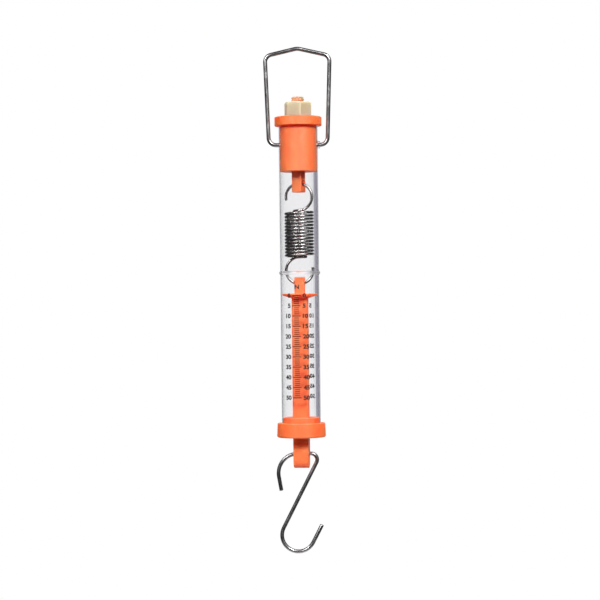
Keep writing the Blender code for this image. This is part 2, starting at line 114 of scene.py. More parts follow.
# Caps
PLUG_GAP = 0.06 * MM
PLUG_R = BORE_R - PLUG_GAP
SMALL_EDGE = 0.35 * MM
HOLE_CHAMFER = 0.3 * MM
TOP_FLANGE_R = TOP_CAP_HIGH.y
TOP_FLANGE_H = 4.4 * MM
TOP_EDGE = 0.5 * MM
BLIND_HOLE_R = 1.3 * MM
BLIND_HOLE_END = 4.3 * MM
KEYED_BORE_R = 3.5 * MM
KEYED_BORE_HALF = 2.75 * MM
BOTTOM_FLANGE_R = BOTTOM_CAP_HIGH.y
BOTTOM_FLANGE_H = 6.9 * MM
BOTTOM_TAPER = 0.25 * MM
BOTTOM_EDGE = 0.8 * MM
SQUARE_HOLE_HALF = 4.0 * MM
SQUARE_HOLE_CORNER = 0.4 * MM

# Adjuster and nut; the thread's wave is steepened and then cut off at its roots and crests
ADJUSTER_TURN = math.radians(-28.0)
THREAD_PITCH = 1.27 * MM
THREAD_ROWS_PER_PITCH = 14
THREAD_STEEPNESS = 1.25
THREAD_ROOT = -0.85
THREAD_CREST = 0.8
THREAD_MEAN_R = 2.95 * MM
THREAD_HALF_DEPTH = 0.22 * MM
THREAD_END_Z = ADJUSTER_HIGH.z - 12.2 * MM
THREAD_GAP = 0.25 * MM
STUD_TIP_R = 2.6 * MM
SHANK_R = 3.05 * MM
BAR_HALF = 2.45 * MM
BAR_CORNER_R = 3.35 * MM
BAR_START_Z = -54.0 * MM
BAR_END_ROUND = 0.4 * MM
UPPER_EYE_R = 1.55 * MM
NUT_CORNER_R = 7.0 * MM
NUT_CORNER_ROUND = 0.45 * MM
NUT_TURN = math.radians(-20.0)
NUT_CHAMFER = 0.9 * MM
NUT_FOOT_EASE = 0.18 * MM
NUT_MOUTH_GROWTH = 0.4 * MM
NUT_MOUTH_DEPTH = 0.5 * MM

# Spring
SPRING_WIRE_R = 0.64 * MM
COIL_R = 6.5 * MM
COIL_TURNS = 14
COIL_TOP_Z = -78.55 * MM
COIL_END_Z = -100.35 * MM
LOOP_R = 6.55 * MM
UPPER_LOOP_Z = -71.4 * MM
LOWER_LOOP_Z = -107.3 * MM
LOOP_SWEEP = math.radians(284.0)
UPPER_LOOP_TURN = math.radians(-14.0)

# Plunger
PLUNGER_TURN = math.radians(-7.0)
HEAD_HALF = 2.45 * MM
HEAD_ROUND = 0.5 * MM
HEAD_FOOT_R = 0.3 * MM
DISC_R = 8.65 * MM
DISC_EDGE = 0.25 * MM
DISC_TOP_Z = -118.6 * MM
DISC_RIM_H = 0.9 * MM
DISC_CONE_H = 1.3 * MM
TAB_HALF = 3.7 * MM
TAB_ROUND = 0.3 * MM
TAB_SHOULDER = 0.25 * MM
LOWER_EYE_Z = -113.9 * MM
LOWER_EYE_R = 1.4 * MM
HOOK_HOLE_R = 1.6 * MM

# Bent wires
BAIL_WIRE_R = 1.0 * MM
HOOK_WIRE_R = 0.94 * MM
WIRE_END_ROUND = 0.35
CLEARANCE = 0.3 * MM

# Printed scale; a tick is its left end, its right end and its thickness, before the wrap
ZERO_Z = -119.5 * MM
FULL_Z = -169.0 * MM
DIVISIONS = 50
DIGIT_H = 2.2 * MM
DIGIT_STRETCH = 1.14
STROKE_GROWTH = 0.042
LONG_TICK = (-3.9 * MM, 0.25 * MM, 0.48 * MM)
SHORT_TICK = (-2.9 * MM, -0.5 * MM, 0.4 * MM)
NUMERAL_RIGHT_X = 1.25 * MM
NUMERAL_LEFT_X = -4.8 * MM
UNIT = "N"
UNIT_X = -2.65 * MM
UNIT_RISE = 4.1 * MM
PRINT_REACH = 9.0 * MM
PRINT_STRIPS = 44
INK_THICK = 0.02 * MM
INK_SUNK = 0.002 * MM

# The stud is dusty and dull where it stands out of the nut
DUSTY_FROM_Z = NUT_HIGH.z - 0.8 * MM
DUSTY_FADE = 1.2 * MM

# Colours, each with its alpha
WHITE = (1.0, 1.0, 1.0, 1.0)
CLEAR = (0.99, 0.99, 0.995, 1.0)
ROOM_COLOUR = (0.95, 0.96, 1.0, 1.0)
# The grey-violet below is painted shade, seen only through the tube's right side.
PAINTED_SHADE_COLOUR = (0.36, 0.34, 0.42, 1.0)

# Lamps: azimuth and elevation in degrees, distance and side in metres, and watts. Azimuth 0 is in
# front of the scale, and positive is to its right.
FRONT_LAMPS = {
    "key_light": (25.0, 32.5, 1.2, 0.25, 19.5),
    "fill_light": (-33.0, 30.0, 1.3, 0.24, 13.5),
}
BACK_LAMPS = {
    "back_light_left": (-140.0, 25.0, 1.3, 0.4, 9.0),
    "back_light_right": (140.0, 25.0, 1.3, 0.4, 9.0),
}

# Room: the directions between which it changes, as parts of a unit vector. ROOM_LIGHT is the room's
# strength before and after the change over ROOM_RISE.
ROOM_RISE = (0.8, 0.97)
ROOM_LIGHT = (0.05, 0.9)
# The next two bound a grey-violet patch of painted shade behind on the right, as parts of a unit vector.
PAINTED_SHADE_EDGE = (0.045, 0.11)
PAINTED_SHADE_END = (0.5, 0.75)

# Floor and camera
FLOOR_Z = -0.42
FLOOR_FADE = (0.1, 0.3)
VIEW_WIDTH = 0.293
VIEW_MIDDLE_Z = -0.1217
LENS_MM = 117.0
SENSOR_MM = 36.0
CAMERA_ROLL = math.radians(-0.66)


# ---------------------------------------------------------------- mesh making

def new_object(name, mesh):
    made = bpy.data.objects.new(name, mesh)
    bpy.context.scene.collection.objects.link(made)
    return made


def closed_mesh(name, bm, sharp_deg=SHARP_DEG):
    """An object from a closed body, with its faces pointing out and its edges shaded by angle."""
    bmesh.ops.remove_doubles(bm, verts=bm.verts, dist=MERGE_WITHIN)
    bmesh.ops.dissolve_degenerate(bm, edges=bm.edges, dist=MERGE_WITHIN)
    bmesh.ops.recalc_face_normals(bm, faces=bm.faces)
    if bm.calc_volume(signed=True) < 0.0:
        bmesh.ops.reverse_faces(bm, faces=bm.faces)
    mesh = bpy.data.meshes.new(name)
    bm.to_mesh(mesh)
    bm.free()
    mesh.shade_smooth()
    mesh.set_sharp_from_angle(angle=math.radians(sharp_deg))
    return new_object(name, mesh)


def evaluated_mesh(piece):
    """A new mesh from the piece as its modifiers leave it."""
    view = bpy.context.evaluated_depsgraph_get()
    return bpy.data.meshes.new_from_object(piece.evaluated_get(view))


def apply_modifier(piece):
    made = evaluated_mesh(piece)
    piece.modifiers.clear()
    piece.data = made


def hold_flats(piece):
    """Shades large faces flat and lets only their rounded edges turn the light."""
    piece.modifiers.new("Hold", "WEIGHTED_NORMAL").keep_sharp = True
    apply_modifier(piece)
    return piece


def loft(name, sections, closed=False):
    """A skin over sections with the same number of points; closed joins the last one to the first."""
    bm = bmesh.new()
    rows = [[bm.verts.new(point) for point in section] for section in sections]
    pairs = list(zip(rows, rows[1:]))
    if closed:
        pairs.append((rows[-1], rows[0]))
    for row, following in pairs:
        for i in range(len(row)):
            j = (i + 1) % len(row)
            bm.faces.new((row[i], row[j], following[j], following[i]))
    if not closed:
        bm.faces.new(rows[0])
        bm.faces.new(rows[-1])
    return hold_flats(closed_mesh(name, bm))


def angles(count):
    return [TURN * i / count for i in range(count)]


def ring(radius, z, directions, turn=0.0):
    return [Vector((radius * math.cos(a + turn), radius * math.sin(a + turn), z)) for a in directions]


def circle(radius, z, count=ROUND_STEPS):
    return ring(radius, z, angles(count))


def arc(centre_r, centre_z, radius, start_deg, end_deg, steps=5):
    """(radius, height) points of a rounded edge on a turned outline."""
    points = []
    for i in range(steps + 1):
        a = math.radians(start_deg + (end_deg - start_deg) * i / steps)
        points.append((centre_r + radius * math.cos(a), centre_z + radius * math.sin(a)))
    return points


def lie_along_x(piece, z=0.0, turn=0.0):
    """Lays a piece made about the Z axis along X at height z, its top towards +X, turned about Z."""
    laid = Matrix.Rotation(turn, 4, "Z") @ Matrix.Rotation(math.radians(90.0), 4, "Y")
    piece.data.transform(Matrix.Translation((0.0, 0.0, z)) @ laid)
    return piece


def cross_cutter(radius, half_width, reach, flare, z, turn=0.0):
    """A bar along X that cuts a hole with rounded rims through a piece half_width thick each side."""
    profile = [(radius + flare, -reach)]
    profile += arc(radius + flare, -half_width + flare, flare, -90.0, -180.0)
    profile += arc(radius + flare, half_width - flare, flare, 180.0, 90.0)
    profile += [(radius + flare, reach)]
    return lie_along_x(loft("cutter", [circle(r, x, HOLE_STEPS) for r, x in profile]), z, turn)


def carve(piece, tool, operation="DIFFERENCE"):
    """Applies one exact Boolean and removes the tool."""
    change = piece.modifiers.new("Carve", "BOOLEAN")
    change.operation = operation
    change.solver = "EXACT"
    change.object = tool
    apply_modifier(piece)
    bpy.data.objects.remove(tool)
    made = piece.data
    if "custom_normal" in made.attributes:
        made.attributes.remove(made.attributes["custom_normal"])
    made.shade_smooth()
    made.set_sharp_from_angle(angle=math.radians(SHARP_DEG))
    return hold_flats(piece)


def bent_path(corners, step_deg=4.0):
    """A path in the XZ plane through (x, z, bend radius) corners, with an arc at each bend."""
    path = [Vector((corners[0][0], 0.0, corners[0][1]))]
    for before, corner, after in zip(corners, corners[1:], corners[2:]):
        bend = Vector((corner[0], corner[1]))
        back = (Vector(before[:2]) - bend).normalized()
        ahead = (Vector(after[:2]) - bend).normalized()
        half_opening = back.angle(ahead) / 2.0
        centre = bend + (back + ahead).normalized() * corner[2] / math.sin(half_opening)
        start = bend + back * corner[2] / math.tan(half_opening) - centre
        sweep = start.angle_signed(bend + ahead * corner[2] / math.tan(half_opening) - centre)
        steps = math.ceil(abs(math.degrees(sweep)) / step_deg)
        for i in range(steps + 1):
            spoke = start.copy()
            spoke.rotate(Matrix.Rotation(-sweep * i / steps, 2))
            path.append(Vector((centre.x + spoke.x, 0.0, centre.y + spoke.y)))
    path.append(Vector((corners[-1][0], 0.0, corners[-1][1])))
    return path


def wire(name, path, radius, sides):
    """Round wire along a path, with its cut ends slightly rounded. Each vertex keeps its place on the
    straight wire in the attribute Drawn, so that drawing marks can follow the wire."""
    directions = []
    for i in range(len(path)):
        ahead = path[min(i + 1, len(path) - 1)] - path[max(i - 1, 0)]
        directions.append(ahead.normalized())
    side = directions[0].orthogonal().normalized()
    stations = []
    run = 0.0
    for i, (point, direction) in enumerate(zip(path, directions)):
        side = (side - direction * side.dot(direction)).normalized()
        run += (point - path[i - 1]).length if i else 0.0
        stations.append((point, direction, side, run))

    crop = WIRE_END_ROUND * radius

    def rounded_end(station, inward):
        """Rows from the plain wire out to the end face; inward is 1 at the start and -1 at the end."""
        point, direction = station[:2]
        return [(point + inward * direction * crop * (1.0 - math.sin(a)), station,
                 radius - crop + crop * math.cos(a)) for a in map(math.radians, (0.0, 30.0, 60.0, 90.0))]

    rows = rounded_end(stations[0], 1.0)[::-1]
    rows += [(station[0], station, radius) for station in stations[1:-1]]
    rows += rounded_end(stations[-1], -1.0)

    bm = bmesh.new()
    drawn = bm.verts.layers.float_vector.new("Drawn")
    rings = []
    for centre, (_, direction, side, run), ring_r in rows:
        other = direction.cross(side)
        verts = []
        for a in angles(sides):
            vert = bm.verts.new(centre + ring_r * (side * math.cos(a) + other * math.sin(a)))
            vert[drawn] = Vector((radius * math.cos(a), radius * math.sin(a), run))
            verts.append(vert)
        rings.append(verts)
    for verts, following in zip(rings, rings[1:]):
        for i in range(sides):
            j = (i + 1) % sides
            bm.faces.new((verts[i], verts[j], following[j], following[i]))
    bm.faces.new(rings[0])
    bm.faces.new(rings[-1])
    return closed_mesh(name, bm, WIRE_SHARP_DEG)


def stand_for(piece, node, body, material):
    """The piece takes a CAD node's place: it shows instead, moves with its body and has its finish."""
    piece.data.materials.clear()
    piece.data.materials.append(material)
    if body is not None:
        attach(piece, body)
    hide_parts(node)
    return piece


# ---------------------------------------------------------------- housing

def tube_shape():
    """Extruded tube with eased ends, the moulded rib, both wire holes and the raised right-hand rim."""
    outside = arc(TUBE_R - TUBE_EASE, TUBE_HIGH.z - TUBE_EASE, TUBE_EASE, 90.0, 0.0, 3)
    for i in range(RIB_STEPS + 1):
        share = -1.0 + 2.0 * i / RIB_STEPS
        swell = (1.0 - share ** 2) ** 1.5
        outside.append((TUBE_R + RIB_PROUD * swell, RIB_Z - RIB_HALF * share))
    outside += arc(TUBE_R - TUBE_EASE, TUBE_LOW.z + TUBE_EASE, TUBE_EASE, 0.0, -90.0, 3)
    inside = [(BORE_R, TUBE_LOW.z), (BORE_R, TUBE_HIGH.z)]
    made = loft("tube_clear", [circle(r, z) for r, z in outside + inside], closed=True)

    proud = TUBE_HIGH.x
    collar = [(COLLAR_R, TUBE_R - COLLAR_ROOT)]
    collar += arc(COLLAR_R - COLLAR_EDGE, proud - COLLAR_EDGE, COLLAR_EDGE, 0.0, 90.0)
    rim = loft("collar", [circle(r, x, HOLE_STEPS) for r, x in collar])
    carve(made, lie_along_x(rim, BAIL_PIVOT_Z), "UNION")
    bar = [circle(WIRE_HOLE_R, x, HOLE_STEPS) for x in (-proud - MM, proud + MM)]
    return carve(made, lie_along_x(loft("cutter", bar), BAIL_PIVOT_Z))


def chamfered_hole(low, high):
    """(growth, height) of a hole from its lower rim to its upper one, wider at both."""
    return [(HOLE_CHAMFER, low), (0.0, low + HOLE_CHAMFER), (0.0, high - HOLE_CHAMFER),
            (HOLE_CHAMFER, high)]


def flat_sided(radius, half, z, turn):
    """A round section with two flats, turned about Z."""
    points = []
    for a in angles(ROUND_STEPS):
        local = a - turn
        y = max(-half, min(half, radius * math.sin(local)))
        point = Vector((radius * math.cos(local), y, z))
        point.rotate(Matrix.Rotation(turn, 3, "Z"))
        points.append(point)
    return points


def top_cap_shape():
    """Flange and plug with a keyed bore, and the bail's two blind holes."""
    top, end = TOP_CAP_HIGH.z, TOP_CAP_LOW.z
    under = top - TOP_FLANGE_H
    outline = arc(TOP_FLANGE_R - TOP_EDGE, top - TOP_EDGE, TOP_EDGE, 90.0, 0.0, 8)
    outline += arc(TOP_FLANGE_R - SMALL_EDGE, under + SMALL_EDGE, SMALL_EDGE, 0.0, -90.0)
    outline += [(PLUG_R, under)]
    outline += arc(PLUG_R - SMALL_EDGE, end + SMALL_EDGE, SMALL_EDGE, 0.0, -90.0)
    sections = [circle(r, z) for r, z in outline]
    sections += [flat_sided(KEYED_BORE_R + grow, KEYED_BORE_HALF + grow, z, ADJUSTER_TURN)
                 for grow, z in chamfered_hole(end, top)]
    made = loft("top_cap_moulding", sections, closed=True)
    for side in (-1.0, 1.0):
        hole = [circle(BLIND_HOLE_R, side * x, BLIND_HOLE_STEPS) for x in (BLIND_HOLE_END, PLUG_R + MM)]
        carve(made, lie_along_x(loft("cutter", hole), BAIL_PIVOT_Z))
    return made


def square_angles(flat_steps=24, corner_steps=6, corner_share=0.08):
    """Directions round a square bar, close together at its corners."""
    made = []
    for quarter in range(4):
        start = quarter * TURN / 4.0
        reach = math.atan(1.0 - corner_share)
        made += [start - reach + 2.0 * reach * i / flat_steps for i in range(flat_steps)]
        gap = TURN / 4.0 - 2.0 * reach
        made += [start + reach + gap * i / corner_steps for i in range(corner_steps)]
    return made


def square(half, corner, z, turn, directions):
    """A square with rounded corners, met by rays from its centre."""
    inner = half - corner
    points = []
    for a in directions:
        c, s = abs(math.cos(a)), abs(math.sin(a))
        long, short = max(c, s), min(c, s)
        radius = half / long
        if radius * short > inner:
            # the ray meets the corner's arc, centred at (inner, inner)
            along = inner * (c + s)
            radius = along + math.sqrt(max(0.0, along ** 2 - 2.0 * inner ** 2 + corner ** 2))
        points.append(Vector((radius * math.cos(a + turn), radius * math.sin(a + turn), z)))
    return points


def bottom_cap_shape():
    """Slightly tapered flange and short plug with the plunger's square hole."""
    top, end = BOTTOM_CAP_HIGH.z, BOTTOM_CAP_LOW.z
    seat = end + BOTTOM_FLANGE_H
    seat_r = BOTTOM_FLANGE_R - BOTTOM_TAPER
    outline = arc(PLUG_R - SMALL_EDGE, top - SMALL_EDGE, SMALL_EDGE, 90.0, 0.0)
    outline += [(PLUG_R, seat)]
    outline += arc(seat_r - SMALL_EDGE, seat - SMALL_EDGE, SMALL_EDGE, 90.0, 0.0)
    outline += arc(BOTTOM_FLANGE_R - BOTTOM_EDGE, end + BOTTOM_EDGE, BOTTOM_EDGE, 0.0, -90.0, 8)
    directions = square_angles()
    sections = [ring(r, z, directions, PLUNGER_TURN) for r, z in outline]
    sections += [square(SQUARE_HOLE_HALF + grow, SQUARE_HOLE_CORNER, z, PLUNGER_TURN, directions)
                 for grow, z in chamfered_hole(end, top)]
    return loft("bottom_cap_moulding", sections, closed=True)


def bail_shape():
    """Bent wire, slightly peaked at its top, with its ends turned in."""
    foot, shoulder, end = 14.3 * MM, 15.8 * MM, 4.7 * MM
    shoulder_z = -2.5 * MM
    bend, peak_bend = 3.6 * MM, 6.0 * MM
    slope = math.atan((BAIL_WIRE_R - shoulder_z) / shoulder)
    peak_z = BAIL_WIRE_R + peak_bend * (1.0 / math.cos(slope) - 1.0)
    half = [(end, BAIL_PIVOT_Z, 0.0), (foot, BAIL_PIVOT_Z, bend), (shoulder, shoulder_z, bend)]
    corners = [(-x, z, r) for x, z, r in half] + [(0.0, peak_z, peak_bend)] + half[::-1]
    return wire("bail_wire", bent_path(corners), BAIL_WIRE_R, WIRE_SIDES)


# ---------------------------------------------------------------- zero adjustment

def thread_radius(a, z, gap=0.0):
    """A 60 degree thread with flattened crests and rounded roots, climbing one pitch a turn."""
    phase = (TURN * (z - ADJUSTER_HIGH.z) / THREAD_PITCH - a) % TURN
    wave = 1.0 - 4.0 * abs(phase / TURN - round(phase / TURN))
    height = max(THREAD_ROOT, min(THREAD_CREST, THREAD_STEEPNESS * wave))
    return THREAD_MEAN_R + gap + THREAD_HALF_DEPTH * height


def adjuster_shape():
    """Threaded stud with two flats, plain shank, and square bar with a cross hole."""
    low, high = ADJUSTER_LOW.z, ADJUSTER_HIGH.z
    levels = [low + BAR_END_ROUND * (1.0 - math.cos(math.radians(15.0 * i))) for i in range(7)]
    # Rows close together where the section changes, so that the shading stays even between them
    levels += [BAR_START_Z + step * MM for step in (-0.5, 0.0, 0.2, 0.8)]
    levels += [THREAD_END_Z - 0.8 * MM]
    rows = round((high - THREAD_END_Z) / THREAD_PITCH * THREAD_ROWS_PER_PITCH)
    levels += [THREAD_END_Z + (high - THREAD_END_Z) * i / rows for i in range(rows + 1)]
    sections = []
    for z in levels:
        section = []
        for a in angles(ROUND_STEPS):
            local = a - ADJUSTER_TURN
            half_x, half_y = SHANK_R, BAR_HALF
            radius = SHANK_R
            if z >= THREAD_END_Z:
                run_in = min(1.0, (z - THREAD_END_Z) / THREAD_PITCH)
                radius += run_in * (thread_radius(a, z) - SHANK_R)
                radius = min(radius, STUD_TIP_R + high - z)
                half_x = radius
            elif z <= BAR_START_Z:
                radius = BAR_CORNER_R
                rise = min(1.0, (z - low) / BAR_END_ROUND)
                cut = BAR_END_ROUND * (1.0 - math.sqrt(max(0.0, 1.0 - (1.0 - rise) ** 2)))
                half_x = half_y = BAR_HALF - cut
            x = max(-half_x, min(half_x, radius * math.cos(local)))
            y = max(-half_y, min(half_y, radius * math.sin(local)))
            point = Vector((x, y, z))
            point.rotate(Matrix.Rotation(ADJUSTER_TURN, 3, "Z"))
            section.append(point)
        sections.append(section)
    made = loft("adjuster_moulding", sections)
    loop_at_face_z = UPPER_LOOP_Z + math.sqrt(LOOP_R ** 2 - BAR_HALF ** 2)
    eye_z = loop_at_face_z - SPRING_WIRE_R - CLEARANCE + UPPER_EYE_R
    eye_turn = (ADJUSTER_TURN + UPPER_LOOP_TURN) / 2.0
    return carve(made, cross_cutter(UPPER_EYE_R, BAR_HALF, reach=6.0 * MM, flare=0.2 * MM,
                                    z=eye_z, turn=eye_turn))


def nut_shape():
    """Hexagon nut with a turned chamfer on its upper corners, rounded corners and its thread."""
    flat_steps, corner_steps, chamfer_steps, thread_rows = 12, 6, 8, 90
    sixth = TURN / 6.0
    corner_half = math.radians(4.5)
    flat_span = sixth - 2.0 * corner_half
    directions = []
    for corner in range(6):
        middle = corner * sixth
        directions += [middle - corner_half + 2.0 * corner_half * i / corner_steps
                       for i in range(corner_steps)]
        directions += [middle + corner_half + flat_span * i / flat_steps for i in range(flat_steps)]
    apothem = NUT_CORNER_R * math.cos(sixth / 2.0)
    tip = NUT_CORNER_R - NUT_CORNER_ROUND * (1.0 / math.cos(sixth / 2.0) - 1.0)

    def hexagon(a):
        from_corner = abs((a + sixth / 2.0) % sixth - sixth / 2.0)
        return min(apothem / math.cos(sixth / 2.0 - from_corner), tip - 0.35 * from_corner ** 2 * tip)

    low, high = NUT_LOW.z, NUT_HIGH.z
    sections = []
    for a_deg in (0.0, 30.0, 60.0, 90.0):
        cut = NUT_FOOT_EASE * (1.0 - math.sin(math.radians(a_deg)))
        z = low + NUT_FOOT_EASE * (1.0 - math.cos(math.radians(a_deg)))
        sections.append([(hexagon(a) - cut, a, z) for a in directions])
    for i in range(chamfer_steps + 1):
        slope = TURN / 4.0 * i / chamfer_steps
        limit = apothem + (NUT_CORNER_R - apothem) * math.cos(slope) - 0.1 * MM * math.sin(slope)
        z = high - NUT_CHAMFER * (1.0 - math.sin(slope))
        sections.append([(min(hexagon(a), limit), a, z) for a in directions])
    for i in range(thread_rows + 1):
        z = high + (low - high) * i / thread_rows
        mouth = NUT_MOUTH_GROWTH * max(0.0, 1.0 - min(z - low, high - z) / NUT_MOUTH_DEPTH)
        sections.append([(thread_radius(a + NUT_TURN, z, THREAD_GAP) + mouth, a, z) for a in directions])
    placed = [[Vector((r * math.cos(a + NUT_TURN), r * math.sin(a + NUT_TURN), z)) for r, a, z in section]
              for section in sections]
    return loft("zero_nut_moulding", placed, closed=True)


# ---------------------------------------------------------------- spring

def spring_path():
    """The spring's wire with, for each point, how far it follows the plunger when the spring opens."""
    path = []
    loop_points, crossing_points, coil_points = 76, 24, 56
    loop_steps = round(loop_points * LOOP_SWEEP / TURN)

    def directions(turn):
        cosine, sine = math.cos(turn), math.sin(turn)
        return Vector((cosine, sine, 0.0)), Vector((-sine, cosine, 0.0))

    across, behind = directions(UPPER_LOOP_TURN)
    centre = UPPER_LOOP_Z * UP
    for i in range(loop_steps + 1):
        a = LOOP_SWEEP * (1.0 - i / loop_steps) - TURN / 4.0
        path.append((centre + LOOP_R * (math.cos(a) * across + math.sin(a) * UP), 0.0))

    loop_bottom_z = UPPER_LOOP_Z - LOOP_R
    for i in range(1, crossing_points + 1):
        share = i / crossing_points
        a = math.pi * share
        z = loop_bottom_z + (COIL_TOP_Z - loop_bottom_z) * share
        flat = COIL_R / 2.0 * ((1.0 - math.cos(a)) * behind - math.sin(a) * across)
        path.append((flat + z * UP, 0.0))

    total_turn = COIL_TURNS * TURN + UPPER_LOOP_TURN
    coil_steps = round(total_turn / TURN * coil_points)
    for i in range(1, coil_steps + 1):
        share = i / coil_steps
        a = TURN / 4.0 + UPPER_LOOP_TURN - total_turn * share
        z = COIL_TOP_Z + (COIL_END_Z - COIL_TOP_Z) * share
        path.append((Vector((COIL_R * math.cos(a), COIL_R * math.sin(a), z)), share))

    across, behind = directions(0.0)
    loop_top_z = LOWER_LOOP_Z + LOOP_R
    for i in range(1, crossing_points + 1):
        share = i / crossing_points
        a = math.pi * share
        z = COIL_END_Z + (loop_top_z - COIL_END_Z) * share
        flat = COIL_R / 2.0 * ((1.0 + math.cos(a)) * behind + math.sin(a) * across)
        path.append((flat + z * UP, 1.0))

    centre = LOWER_LOOP_Z * UP
    for i in range(1, loop_steps + 1):
        a = math.pi / 2.0 + LOOP_SWEEP * i / loop_steps
        path.append((centre + LOOP_R * (math.cos(a) * across + math.sin(a) * UP), 1.0))
    return path


def spring_piece(material):
    """The spring as one wire in the CAD spring's place, tied to no body. A station along the path is
    found for each vertex, but nothing is kept from it.
    """
    path = spring_path()
    made = wire("spring_wire", [point for point, _ in path], SPRING_WIRE_R, SPRING_WIRE_SIDES)
    runs = [0.0]
    for (point, _), (following, _) in zip(path, path[1:]):
        runs.append(runs[-1] + (following - point).length)
    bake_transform(made)
    drawn = made.data.attributes["Drawn"].data
    station = 0
    for spot in drawn:
        run = spot.vector[2]
        while station > 0 and runs[station] > run + 1e-7:
            station -= 1
        while station < len(runs) - 1 and runs[station] < run - 1e-7:
            station += 1
    return stand_for(made, "spring", None, material)


# ---------------------------------------------------------------- plunger and hook

def plunger_shape():
    """Head, reading disc and square bar with a rounded end in one moulding, with two cross holes."""
    flat_steps, corner_steps = 10, 6
    head_z = PLUNGER_HIGH.z
    rim_z = DISC_TOP_Z - DISC_RIM_H
    centre_z = PLUNGER_LOW.z + TAB_HALF

    def bar_section(half, corner, z, drop=0.0):
        """Rounded square; drop is how far below the round end's centre it lies."""
        quarter = []
        for i in range(corner_steps + 1):
            bevel = TURN / 4.0 * i / corner_steps
            if half - corner * (1.0 - math.cos(bevel)) < drop:
                bevel = math.acos(max(0.0, 1.0 - (half - drop) / corner))
            side = half - corner * (1.0 - math.cos(bevel))
            y = math.sqrt(max(0.0, side ** 2 - drop ** 2))
            quarter.append((half - corner + corner * math.sin(bevel), y))
        corners = quarter[::-1]
        corners += [(-x, y) for x, y in quarter]
        corners += [(-x, -y) for x, y in quarter[::-1]]
        corners += [(x, -y) for x, y in quarter]
        points = []
        for i, (x, y) in enumerate(corners):
            points.append(Vector((x, y, z)))
            if i % (corner_steps + 1) == corner_steps:
                nx, ny = corners[(i + 1) % len(corners)]
                points += [Vector((x + (nx - x) * k / flat_steps, y + (ny - y) * k / flat_steps, z))
                           for k in range(1, flat_steps)]
        return points

    template = bar_section(TAB_HALF, TAB_ROUND, 0.0)
    directions = [math.atan2(point.y, point.x) for point in template]

    sections = []
    for i in range(6):
        a = TURN / 4.0 * i / 5.0
        cut = HEAD_ROUND * (1.0 - math.sin(a))
        sections.append(bar_section(HEAD_HALF - cut, max(0.05 * MM, HEAD_ROUND - 0.8 * cut),
                                    head_z - HEAD_ROUND * (1.0 - math.cos(a))))
    for i in range(5):
        a = TURN / 4.0 * i / 4.0
        grow = HEAD_FOOT_R * (1.0 - math.cos(a))
        sections.append(bar_section(HEAD_HALF + grow, HEAD_ROUND + grow,
                                    DISC_TOP_Z + HEAD_FOOT_R * (1.0 - math.sin(a))))
    rim = arc(DISC_R - DISC_EDGE, DISC_TOP_Z - DISC_EDGE, DISC_EDGE, 90.0, 0.0)
    rim += arc(DISC_R - DISC_EDGE, rim_z + DISC_EDGE, DISC_EDGE, 0.0, -60.0)
    sections += [ring(r, z, directions) for r, z in rim]
    cone_end_z = rim_z - DISC_CONE_H
    sections.append(bar_section(TAB_HALF + TAB_SHOULDER, TAB_ROUND + TAB_SHOULDER, cone_end_z))
    sections.append(bar_section(TAB_HALF, TAB_ROUND, cone_end_z - TAB_SHOULDER))
    for i in range(13):
        drop = TAB_HALF * math.sin(TURN / 4.0 * i / 12.0)
        sections.append(bar_section(TAB_HALF, TAB_ROUND, centre_z - drop, drop))
    turned = Matrix.Rotation(PLUNGER_TURN, 3, "Z")
    made = loft("plunger_moulding", [[turned @ point for point in section] for section in sections])
    carve(made, cross_cutter(LOWER_EYE_R, HEAD_HALF, reach=6.0 * MM, flare=0.15 * MM, z=LOWER_EYE_Z))
    hole_z = HOOK_PIVOT_Z - HOOK_WIRE_R - CLEARANCE + HOOK_HOLE_R
    return carve(made, cross_cutter(HOOK_HOLE_R, TAB_HALF, reach=8.0 * MM, flare=0.2 * MM, z=hole_z))


def hook_shape():
    """S-hook: the small bend through the tab, the long shank and the open bowl."""
    # x and height in mm from the turning point, and the radius of the bend there
    corners = [(-10.1, -18.0, 0.0), (-13.2, 0.0, 9.5), (9.4, 0.0, 3.0), (-12.8, -43.2, 8.0),
               (1.4, -50.5, 8.0), (9.6, -34.8, 0.0)]
    hung = [(x * MM, z * MM + HOOK_PIVOT_Z, bend * MM) for x, z, bend in corners]
    return wire("hook_wire", bent_path(hung), HOOK_WIRE_R, WIRE_SIDES)


# ---------------------------------------------------------------- printed scale

def flat_text(body):
    """Upright lettering in the XZ plane as a mesh, DIGIT_H tall, from x = 0 to its width."""
    curve = bpy.data.curves.new("print", "FONT")
    curve.body = body
    curve.resolution_u = 6
    curve.offset = STROKE_GROWTH
    made = new_object("print", curve)
    mesh = evaluated_mesh(made)
    bpy.data.objects.remove(made)
    xs = [vert.co.x for vert in mesh.vertices]
    ys = [vert.co.y for vert in mesh.vertices]
    grow = DIGIT_H / (max(ys) - min(ys))
    size = Matrix.Diagonal((grow * DIGIT_STRETCH, grow, grow, 1.0))
    placed = Matrix.Rotation(math.radians(90.0), 4, "X") @ size
    mesh.transform(placed @ Matrix.Translation((-min(xs), -min(ys), 0.0)))
    return mesh, (max(xs) - min(xs)) * grow * DIGIT_STRETCH


def add_text(bm, body, x, z, align_right=False):
    mesh, width = flat_text(body)
    left = x - width if align_right else x
    mesh.transform(Matrix.Translation((left, 0.0, z - DIGIT_H / 2.0)))
    bm.from_mesh(mesh)
    bpy.data.meshes.remove(mesh)


def add_tick(bm, tick, z):
    start, end, thick = tick
    corners = [(start, z - thick / 2.0), (end, z - thick / 2.0), (end, z + thick / 2.0),
               (start, z + thick / 2.0)]
    bm.faces.new([bm.verts.new((x, 0.0, height)) for x, height in corners])


